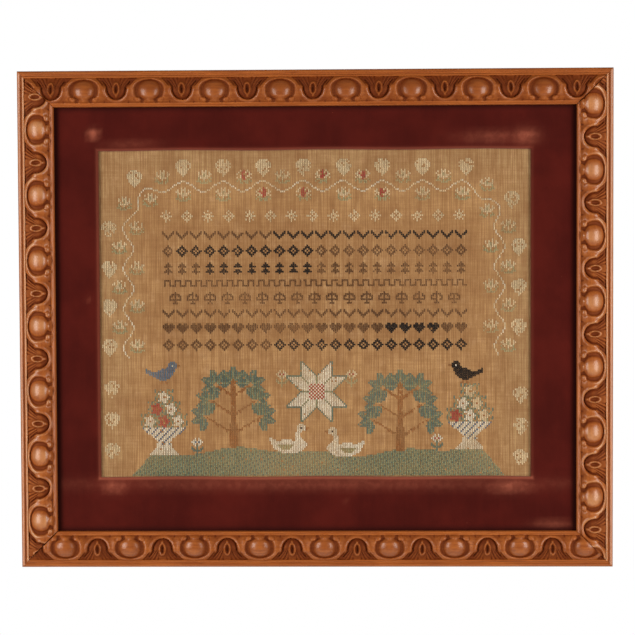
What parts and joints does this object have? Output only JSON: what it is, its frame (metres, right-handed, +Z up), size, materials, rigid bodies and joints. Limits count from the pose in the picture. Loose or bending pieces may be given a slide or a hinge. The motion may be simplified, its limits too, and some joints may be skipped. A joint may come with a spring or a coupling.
{
  "type": "framed cross stitch sampler with its carved wood frame",
  "caption": "Cross stitch sampler on linen ground behind a velvet window mat, in a mitred, carved and varnished wood frame, hung flat on a wall.",
  "frame": {"origin": "on the flat back of the top rail, at the middle of its length, in the wall plane", "axes": "+X to the right as the needlework is seen, +Y into the wall, +Z up; the needlework faces -Y"},
  "size_m": [0.594, 0.0246, 0.498],
  "materials": {
    "carved_wood": "satin to gloss varnish on orange brown fruitwood",
    "velvet": "burgundy cotton velvet, rubbed along its window",
    "linen": "aged tan even-weave linen with cotton cross stitch",
    "board": "matt grey board",
    "steel": "dull steel wire"
  },
  "bodies": {
    "root": {"rail_top": "carved_wood", "rail_right": "carved_wood", "rail_bottom": "carved_wood", "rail_left": "carved_wood", "mat_velvet": "velvet", "linen_ground": "linen", "backing_board": "board", "brad_top_1": "steel", "brad_top_2": "steel", "brad_top_3": "steel", "brad_top_4": "steel", "brad_right_1": "steel", "brad_right_2": "steel", "brad_right_3": "steel", "brad_bottom_1": "steel", "brad_bottom_2": "steel", "brad_bottom_3": "steel", "brad_bottom_4": "steel", "brad_left_1": "steel", "brad_left_2": "steel", "brad_left_3": "steel"}
  },
  "joints": []
}
